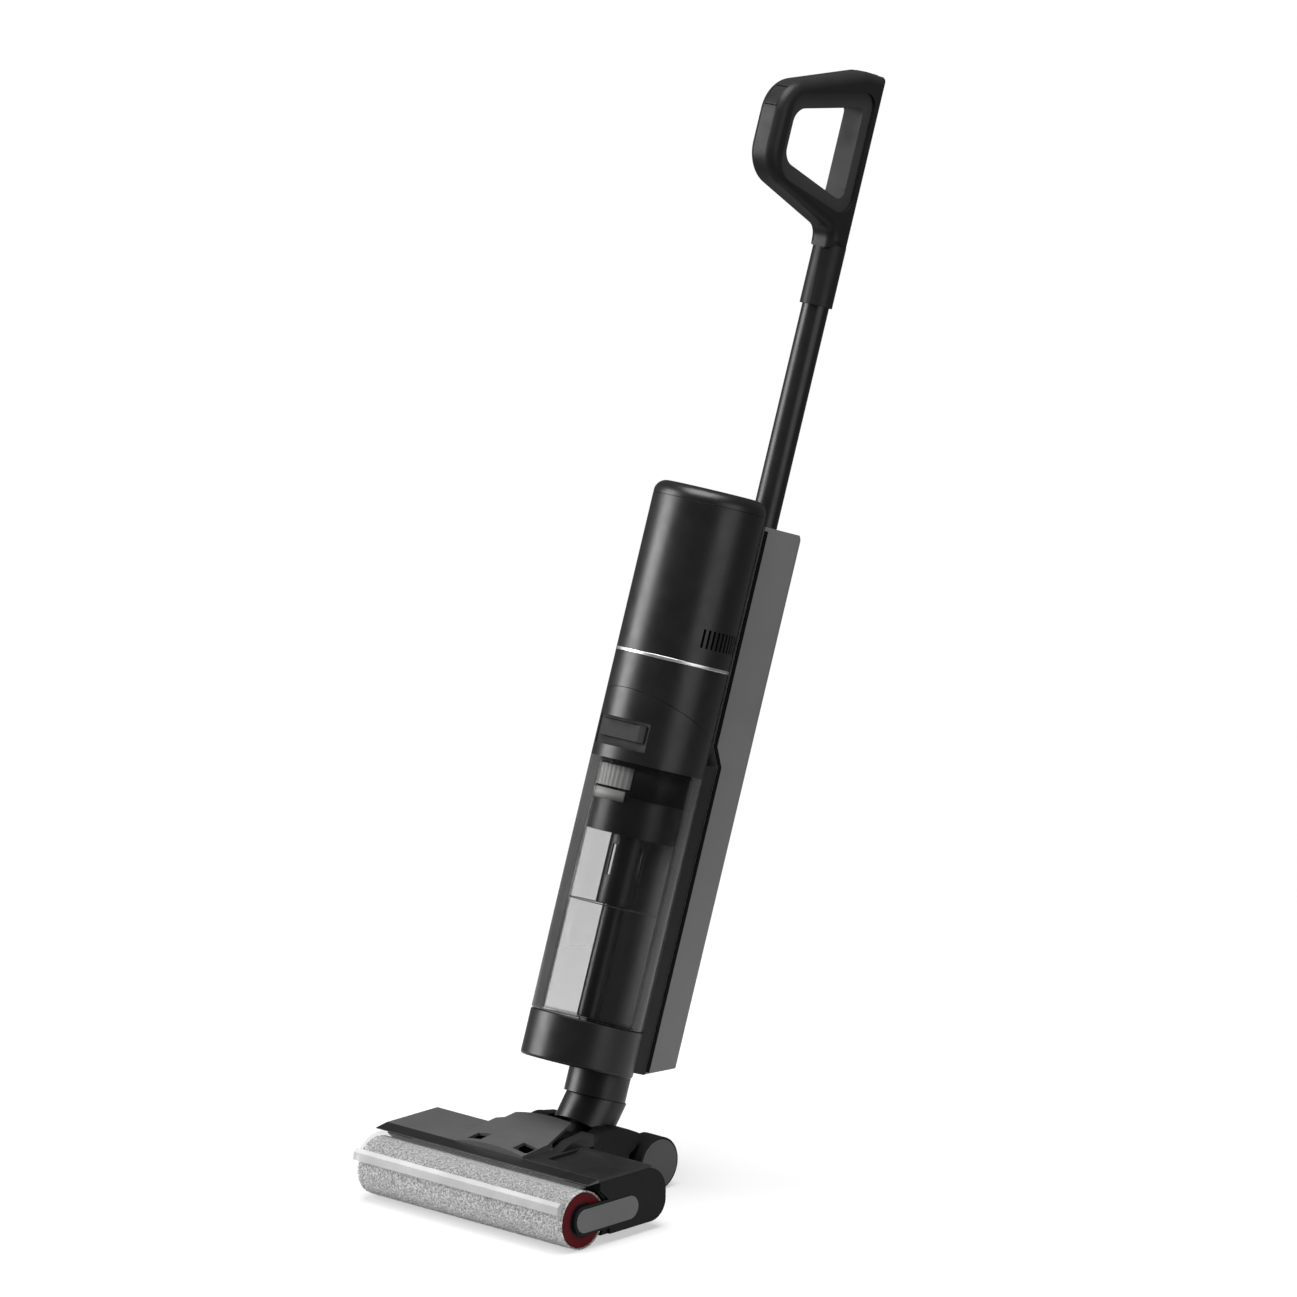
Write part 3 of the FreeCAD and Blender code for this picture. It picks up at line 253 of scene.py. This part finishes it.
BLACK = (0.006, 0.006, 0.0065)
PAINT = {
    "satin_black": moulded("satin_black", BLACK, 0.36, mottle=0.08, bump=0.05, specular=0.55),
    "gloss_black": moulded("gloss_black", (0.005, 0.005, 0.006), 0.2, bump=0.0, coat=0.4),
    "dark_plastic": moulded("dark_plastic", (0.008, 0.008, 0.009), 0.5, bump=0.12, specular=0.18),
    "grey_plastic": moulded("grey_plastic", (0.21, 0.21, 0.213), 0.52, bump=0.12, mottle=0.05),
    "cover_grey": moulded("cover_grey", (0.072, 0.072, 0.074), 0.45, bump=0.12, mottle=0.06),
    "clear_smoke": clear("clear_smoke", (0.88, 0.88, 0.88), (0.09, 0.09, 0.09), (0.38, 0.47)),
    "clear_visor": clear("clear_visor", (0.92, 0.92, 0.92), (0.27, 0.27, 0.27), (0.6, 0.98),
                         film=0.12, solid=0.4),
    "frosted_lip": clear("frosted_lip", (0.75, 0.75, 0.75), (0.72, 0.72, 0.73), (0.1, 0.9),
                         film=0.6, solid=0.9, roughness=0.35),
    "fleece": fleece("fleece"),
    "red_plastic": moulded("red_plastic", (0.11, 0.004, 0.008), 0.6, bump=0.05, specular=0.12),
    "chrome": metal("chrome", (0.9, 0.9, 0.91), 0.34),
    "steel": metal("steel", (0.56, 0.56, 0.57), 0.3, brush=0.5),
    "contact_metal": metal("contact_metal", (0.8, 0.62, 0.32), 0.22),
    "tyre": moulded("tyre", (0.01, 0.01, 0.01), 0.7, grain=1400.0, bump=0.3, specular=0.25),
    "seal_rubber": moulded("seal_rubber", (0.006, 0.006, 0.006), 0.7, bump=0.2, specular=0.06),
    "pole_paint": moulded("pole_paint", (0.007, 0.007, 0.008), 0.36, grain=3000.0, bump=0.02),
    "white_plastic": moulded("white_plastic", (0.72, 0.72, 0.71), 0.4),
    "filter_foam": filter_paper("filter_foam"),
    "board_green": moulded("board_green", (0.015, 0.12, 0.05), 0.4),
    "orange_plastic": moulded("orange_plastic", (0.55, 0.2, 0.04), 0.4),
    "wheel_grey": moulded("wheel_grey", (0.075, 0.075, 0.077), 0.5, bump=0.12),
    "grip_black": moulded("grip_black", (0.017, 0.017, 0.018), 0.42, bump=0.05, specular=0.22),
    "insert_grey": moulded("insert_grey", (0.055, 0.055, 0.056), 0.6, bump=0.15, specular=0.12),
    "button_grey": moulded("button_grey", (0.045, 0.045, 0.047), 0.6, bump=0.08, specular=0.1),
    "trim_grey": moulded("trim_grey", (0.14, 0.14, 0.142), 0.5, bump=0.12),
    "spine_grey": moulded("spine_grey", (0.018, 0.018, 0.019), 0.5, bump=0.12, specular=0.3),
    "deck_black": moulded("deck_black", (0.014, 0.014, 0.015), 0.4, bump=0.1, specular=0.4),
    # Painted light: a pale grey for the spine's hollow behind the clear tank, brightening a place the lamps barely
    # reach; the spine itself is near black.
    "hollow_painted_light": moulded("hollow_painted_light", (0.45, 0.45, 0.455), 0.6, bump=0.12, specular=0.2),
}

# Nodes whose look differs from that of their record's material slot.
NODE_PAINT = {
    "wheel_hub_left": "wheel_grey",
    "wheel_hub_right": "wheel_grey",
    "top_cap": "satin_black",
    "roller_hub": "dark_plastic",
    "spine": "spine_grey",
    "arm_trim": "trim_grey",
    "tank_button": "button_grey",
    "latch_left": "dark_plastic",
    "latch_right": "dark_plastic",
    "handle_frame": "grip_black",
    "grip_insert": "insert_grey",
    "power_button": "grip_black",
    "mode_button": "grip_black",
    "self_clean_button": "dark_plastic",
    "side_deck": "deck_black",
    # The battery pack, seen only through the exhaust slots, is made near black so that the slots look black.
    "battery_pack": "dark_plastic",
}

# A bevel on the thin clear visor shows as bright dots along its lip, so it keeps its CAD edges.
UNSOFTENED = ("front_visor",)


def dress_frame():
    """Give each CAD node its material, smooth shading and softened edges."""
    slots = {entry["node"]: entry["material_slot"] for entry in frame["record"]["subparts"]}
    for name, obj in NODES.items():
        obj.data.materials.clear()
        obj.data.materials.append(PAINT[NODE_PAINT.get(name, slots[name])])
        for polygon in obj.data.polygons:
            polygon.use_smooth = True
        obj.data.set_sharp_from_angle(angle=math.radians(32))
        if name in UNSOFTENED:
            continue
        weld = obj.modifiers.new("weld", "WELD")
        weld.merge_threshold = 0.00002
        edge = obj.modifiers.new("edges", "BEVEL")
        edge.width = 0.0005
        edge.segments = 2
        edge.limit_method = "ANGLE"
        edge.angle_limit = math.radians(35)
        edge.use_clamp_overlap = True
        normals = obj.modifiers.new("normals", "WEIGHTED_NORMAL")
        normals.keep_sharp = True


def shade_band(obj, material, wanted):
    """Give the faces that the test picks a second material."""
    obj.data.materials.append(material)
    world = obj.matrix_world
    for polygon in obj.data.polygons:
        if wanted(world.to_3x3() @ polygon.normal, world @ polygon.center):
            polygon.material_index = len(obj.data.materials) - 1


def from_drum_axis(centre):
    """How far a point is from the front cylinder's axis."""
    place = centre - drum_centre(0)
    return math.hypot(place.x, place.dot(REAR))


def add_second_materials():
    """Four nodes carry a second material on some of their faces."""
    shade_band(NODES["roller_cover"], PAINT["satin_black"], on_cover_slope)
    shade_band(NODES["front_visor"], PAINT["frosted_lip"], on_visor_lip)
    # Painted shade: the pocket round the tank's button takes a dull black with little reflection.
    shade_band(NODES["tank_lid"], PAINT["dark_plastic"], lid_pocket_painted_shade)
    # Painted light: the spine's hollow behind the dirty water tank turns pale grey.
    shade_band(NODES["spine"], PAINT["hollow_painted_light"], in_drum_hollow)


def on_cover_slope(normal, centre):
    """The cover's black front slope, above the visor."""
    return normal.z > 0.3 and normal.y < -0.1 and centre.y < COVER_FRONT_BAND


def on_visor_lip(normal, centre):
    """The visor's thick outer lip."""
    return math.hypot(centre.y - ROLLER.y, centre.z - ROLLER.z) > LIP_REACH


def lid_pocket_painted_shade(normal, centre):
    """The lid's inner faces, the pocket round the tank's button and its underside: painted shade, a duller black
    that reflects little.
    """
    return from_drum_axis(centre) < DRUM_RADIUS - 1.2 * MM and normal.dot(UP) < 0.7


def in_drum_hollow(normal, centre):
    """The spine's hollow that the dirty water tank sits in; its faces get a pale grey as painted light."""
    return abs(from_drum_axis(centre) - DRUM_RADIUS) < 0.8 * MM


# ------------------------------------------------------------------ mesh helpers

def mesh_object(name, verts, faces, material, smooth=True):
    """An object made of the given corners and faces."""
    mesh = bpy.data.meshes.new(name)
    mesh.from_pydata([tuple(v) for v in verts], [], faces)
    mesh.validate()
    mesh.update()
    obj = bpy.data.objects.new(name, mesh)
    bpy.context.scene.collection.objects.link(obj)
    mesh.materials.append(material)
    for polygon in mesh.polygons:
        polygon.use_smooth = smooth
    return obj


def swept_ring(name, axis_a, axis_b, sections, material, turns, closed=True):
    """A section of (radius, height) corners, swept round the front cylinder's axis through the turns."""
    verts, faces = [], []
    count = len(turns)
    width = len(sections)
    for angle in turns:
        out = axis_a * math.cos(angle) + axis_b * math.sin(angle)
        for radius, height in sections:
            verts.append(drum_centre(height) + out * radius)
    loops = count if closed else count - 1
    for i in range(loops):
        for k in range(width):
            a = i * width + k
            b = i * width + (k + 1) % width
            c = ((i + 1) % count) * width + (k + 1) % width
            d = ((i + 1) % count) * width + k
            faces.append((a, b, c, d))
    if not closed:
        faces.append(tuple(range(width)))
        faces.append(tuple(reversed(range((count - 1) * width, count * width))))
    return mesh_object(name, verts, faces, material)


# ------------------------------------------------------------------ the roller's pile

def make_pile():
    """The roller's fleece: a lumpy nap, open at its ends, with thousands of short standing tufts."""
    low, high = (Vector(corner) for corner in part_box("roller_pile"))
    radius = (high.z - low.z) / 2
    nap = radius - NAP_DEPTH
    rng = random.Random(7)
    verts, faces = nap_tube(low.x, high.x, nap, rng)
    for _ in range(TUFTS):
        start = len(verts)
        verts += tuft(low.x, high.x, nap, radius, rng)
        faces += [(start, start + 1, start + 3), (start + 1, start + 2, start + 3),
                  (start + 2, start, start + 3)]
    pile = mesh_object("fleece_pile", verts, faces, PAINT["fleece"])
    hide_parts("roller_pile")
    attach(pile, "roller")


def nap_tube(low, high, nap, rng):
    """The nap's lumpy skin: rings of points from end to end along the roller, and back inside it."""
    wall = end_wrap(low, nap)
    wall += [(low + (high - low) * i / PILE_STEPS, nap) for i in range(2, PILE_STEPS - 1)]
    wall += reversed(end_wrap(high, nap, -1))
    wall += [(high - 2 * MM, PILE_INNER), (low + 2 * MM, PILE_INNER)]
    verts, faces = [], []
    for x, r in wall:
        rough = NAP_ROUGH if r > PILE_INNER else 0.0
        for k in range(PILE_AROUND):
            angle = 2 * math.pi * k / PILE_AROUND
            lump = r + rng.uniform(-rough, rough)
            verts.append((x, ROLLER.y + lump * math.cos(angle), ROLLER.z + lump * math.sin(angle)))
    rings = len(wall)
    for i in range(rings):
        here = i * PILE_AROUND
        there = (i + 1) % rings * PILE_AROUND
        for k in range(PILE_AROUND):
            turn = (k + 1) % PILE_AROUND
            faces.append((here + k, here + turn, there + turn, there + k))
    return verts, faces


def tuft(low, high, nap, radius, rng):
    """The four corners of one tuft: three at its root in the nap, and a leaning tip."""
    x = rng.uniform(low + 0.9 * MM, high - 0.9 * MM)
    angle = rng.uniform(0, 2 * math.pi)
    out = Vector((0, math.cos(angle), math.sin(angle)))
    side = Vector((0, -math.sin(angle), math.cos(angle)))
    centre = Vector((x, ROLLER.y, ROLLER.z))
    root = centre + out * (nap - 0.7 * MM)
    lean = side * rng.uniform(-0.5, 0.9) * MM + RIGHT * rng.uniform(-0.6, 0.6) * MM
    tip = out * (radius - rng.uniform(0.0, 0.8) * MM) + lean
    tip = centre + RIGHT * tip.x + clamp_radius(tip, radius)
    wide = rng.uniform(0.25, 0.5) * MM
    return [root + side * wide, root - side * wide * 0.5 + RIGHT * wide,
            root - side * wide * 0.5 - RIGHT * wide, tip]


def end_wrap(x, nap, way=1):
    """The rounded end of the pile, from its inner edge out to the full nap."""
    steps = [math.radians(15 * k) for k in range(7)]
    bulge = nap - PILE_INNER
    return [(x + way * bulge * (1 - math.sin(step)), PILE_INNER + bulge * math.sin(step) ** 0.5)
            for step in steps]


def clamp_radius(offset, limit):
    """The part of an offset square to the roller's axis, no longer than the limit."""
    flat = Vector((0, offset.y, offset.z))
    return flat if flat.length <= limit else flat * (limit / flat.length)


# ------------------------------------------------------------------ small visible detail

def make_level_ring():
    """The moulded fill line round the inside of the dirty water tank."""
    turns = [2 * math.pi * i / 96 for i in range(96)]
    outer = DRUM_RADIUS - TANK_WALL
    inner = outer - 0.7 * MM
    sections = [(outer, FILL_LINE), (outer, FILL_LINE + 1.0 * MM),
                (inner, FILL_LINE + 0.8 * MM), (inner, FILL_LINE + 0.2 * MM)]
    ring = swept_ring("tank_fill_line", RIGHT, REAR, sections, PAINT["grey_plastic"], turns)
    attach(ring, "dirty_tank")


def make_filter_shroud():
    """The dark frame round the tank filter, with a window at its front and a pale sill under it."""
    outer, inner = FILTER_FRAME, FILTER_FRAME - FILTER_WALL
    steps = 64
    wall = [(outer, FILTER_LOW), (outer, FILTER_HIGH), (inner, FILTER_HIGH), (inner, FILTER_LOW)]
    turns = [FILTER_WINDOW + (2 * math.pi - 2 * FILTER_WINDOW) * i / steps for i in range(steps + 1)]
    shroud = swept_ring("filter_shroud", -REAR, RIGHT, wall, PAINT["dark_plastic"], turns, closed=False)
    foot, top = FILTER_LOW - 6 * MM, FILTER_LOW + 4 * MM
    sill = [(outer, foot), (outer, top), (inner, top), (inner, foot)]
    spans = [FILTER_WINDOW * 0.85 * (i / 8 - 1) for i in range(17)]
    bar = swept_ring("filter_sill", -REAR, RIGHT, sill, PAINT["white_plastic"], spans, closed=False)
    for piece, slot in ((shroud, "dark_plastic"), (bar, "white_plastic")):
        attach(piece, "dirty_tank")


def make_clear_wall():
    """The dirty tank's smoky wall, turned smoothly on the cylinder's axis, with its floor and port."""
    outer, inner = DRUM_RADIUS, DRUM_RADIUS - TANK_WALL
    low, high, base = TANK_LOW, TANK_HIGH, TANK_LOW + TANK_FLOOR
    profile = [(INLET_PORT, low), (outer - 2 * MM, low), (outer - 0.6 * MM, low + 0.6 * MM),
               (outer, low + 2 * MM), (outer, high), (inner, high), (inner, base), (INLET_PORT, base)]
    turns = [2 * math.pi * i / 144 for i in range(144)]
    wall = swept_ring("clear_wall", RIGHT, REAR, profile, PAINT["clear_smoke"], turns)
    wall.data.set_sharp_from_angle(angle=math.radians(30))
    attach(wall, "dirty_tank")
    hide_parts("dirty_tank")


def make_edge_strips():
    """Black strips along both front edges of the clean water tank, where a dark line runs between the drum and the
    rear housing.
    """
    low, high = (Vector(corner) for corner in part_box("clean_tank"))
    for side, face in (("left", low.x), ("right", high.x)):
        out = STRIP_PROUD if side == "right" else -STRIP_PROUD
        rim = [(back * MM, along * MM) for back, along in TANK_EDGE]
        rim += [((back + STRIP_WIDE) * MM, along * MM) for back, along in reversed(TANK_EDGE)]
        count = len(rim)
        verts = [body_point(face - out, back, along) for back, along in rim]
        verts += [body_point(face + out, back, along) for back, along in rim]
        faces = [tuple(range(count)), tuple(reversed(range(count, 2 * count)))]
        faces += [(i, i + count, (i + 1) % count + count, (i + 1) % count) for i in range(count)]
        # The strips take the seal_rubber black, for the dark line between the drum and the rear housing.
        strip = mesh_object(f"edge_strip_{side}", verts, faces, PAINT["seal_rubber"], smooth=False)
        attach(strip, "clean_tank")


def make_latch_ridges():
    """A slanting finger ridge on each latch of the roller cover."""
    for name in ("latch_left", "latch_right"):
        low, high = (Vector(corner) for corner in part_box(name))
        inset = 1.5 * MM
        foot = [(low.x + inset, low.y + inset), (low.x + inset + 2 * MM, low.y + inset),
                (high.x - inset, high.y - inset), (high.x - inset - 2 * MM, high.y - inset)]
        verts = [(x, y, high.z - 0.2 * MM) for x, y in foot]
        verts += [(x, y, high.z + 2.2 * MM) for x, y in foot]
        faces = [(3, 2, 1, 0), (4, 5, 6, 7)]
        faces += [(i, (i + 1) % 4, (i + 1) % 4 + 4, i + 4) for i in range(4)]
        ridge = mesh_object(f"{name}_ridge", verts, faces, PAINT["trim_grey"], smooth=False)
        soften = ridge.modifiers.new("edges", "BEVEL")
        soften.width = 0.4 * MM
        soften.segments = 2
        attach(ridge, name)


# ------------------------------------------------------------------ studio

def area_light(name, place, aim, power, wide, high):
    """A softbox at a place, turned towards its aim."""
    data = bpy.data.lights.new(name, "AREA")
    data.shape = "RECTANGLE"
    data.size = wide
    data.size_y = high
    data.energy = power
    light = bpy.data.objects.new(name, data)
    light.location = place
    light.rotation_euler = (Vector(aim) - Vector(place)).to_track_quat("-Z", "Y").to_euler()
    bpy.context.scene.collection.objects.link(light)


def make_studio():
    """The floor, the white background, three softboxes and plain colour settings."""
    sides = 64
    turns = [2 * math.pi * i / sides for i in range(sides)]
    edge = [(FLOOR_RADIUS * math.cos(turn), FLOOR_RADIUS * math.sin(turn), 0) for turn in turns]
    floor = mesh_object("studio_floor", edge, [tuple(range(sides))], floor_material(), smooth=False)
    make_world()
    for name, settings in LIGHTS.items():
        area_light(name, **settings)
    view = bpy.context.scene.view_settings
    view.view_transform = "Standard"
    view.look = "None"
    view.exposure = 0.0


def make_world():
    """A background that the camera sees as white, and that lights the machine only faintly."""
    world = bpy.data.worlds.new("studio_world")
    bpy.context.scene.world = world
    world.use_nodes = True
    tree = world.node_tree
    back = tree.nodes["Background"]
    back.inputs["Color"].default_value = (1, 1, 1, 1)
    back.inputs["Strength"].default_value = 0.12
    seen = node(tree, "ShaderNodeBackground", Strength=1.0)
    seen.inputs["Color"].default_value = (1, 1, 1, 1)
    path = node(tree, "ShaderNodeLightPath")
    mix = node(tree, "ShaderNodeMixShader")
    tree.links.new(path.outputs["Is Camera Ray"], mix.inputs["Fac"])
    tree.links.new(back.outputs["Background"], mix.inputs[1])
    tree.links.new(seen.outputs["Background"], mix.inputs[2])
    tree.links.new(mix.outputs["Shader"], tree.nodes["World Output"].inputs["Surface"])


def floor_material():
    """Pale seamless paper that fades into the white background away from the machine."""
    material, tree, surface = shader("studio_paper")
    tooth = noise(tree, 3.0, 2.0)
    tone = ramp(tree, tooth.outputs["Fac"], 0.93, 0.95)
    tree.links.new(tone.outputs["Color"], surface.inputs["Base Color"])
    surface.inputs["Roughness"].default_value = 0.9
    surface.inputs["Specular IOR Level"].default_value = 0.1
    coordinates = node(tree, "ShaderNodeTexCoord")
    distance = node(tree, "ShaderNodeVectorMath", operation="LENGTH")
    tree.links.new(coordinates.outputs["Object"], distance.inputs[0])
    fade = node(tree, "ShaderNodeMapRange")
    fade.interpolation_type = "SMOOTHSTEP"
    fade.inputs["From Min"].default_value = 0.35
    fade.inputs["From Max"].default_value = 0.95 * FLOOR_RADIUS
    fade.inputs["To Min"].default_value = 0.5
    tree.links.new(distance.outputs["Value"], fade.inputs["Value"])
    clear_away = node(tree, "ShaderNodeBsdfTransparent")
    mix = node(tree, "ShaderNodeMixShader")
    tree.links.new(fade.outputs["Result"], mix.inputs["Fac"])
    tree.links.new(surface.outputs["BSDF"], mix.inputs[1])
    tree.links.new(clear_away.outputs["BSDF"], mix.inputs[2])
    tree.links.new(mix.outputs["Shader"], tree.nodes["Material Output"].inputs["Surface"])
    return material


def make_camera():
    """A long lens from the front right, a little above: the usual product view."""
    away = Vector((math.sin(CAMERA_AZIMUTH) * math.cos(CAMERA_ELEVATION),
                   -math.cos(CAMERA_AZIMUTH) * math.cos(CAMERA_ELEVATION),
                   math.sin(CAMERA_ELEVATION)))
    data = bpy.data.cameras.new("camera")
    data.lens = CAMERA_LENS
    data.sensor_width = 36
    data.clip_end = 100
    camera = bpy.data.objects.new("camera", data)
    camera.location = CAMERA_TARGET + away * CAMERA_DISTANCE
    camera.rotation_euler = (-away).to_track_quat("-Z", "Y").to_euler()
    bpy.context.scene.collection.objects.link(camera)
    bpy.context.scene.camera = camera


make_camera()
make_studio()
dress_frame()
add_second_materials()
make_pile()
make_clear_wall()
make_level_ring()
make_filter_shroud()
make_latch_ridges()
make_edge_strips()
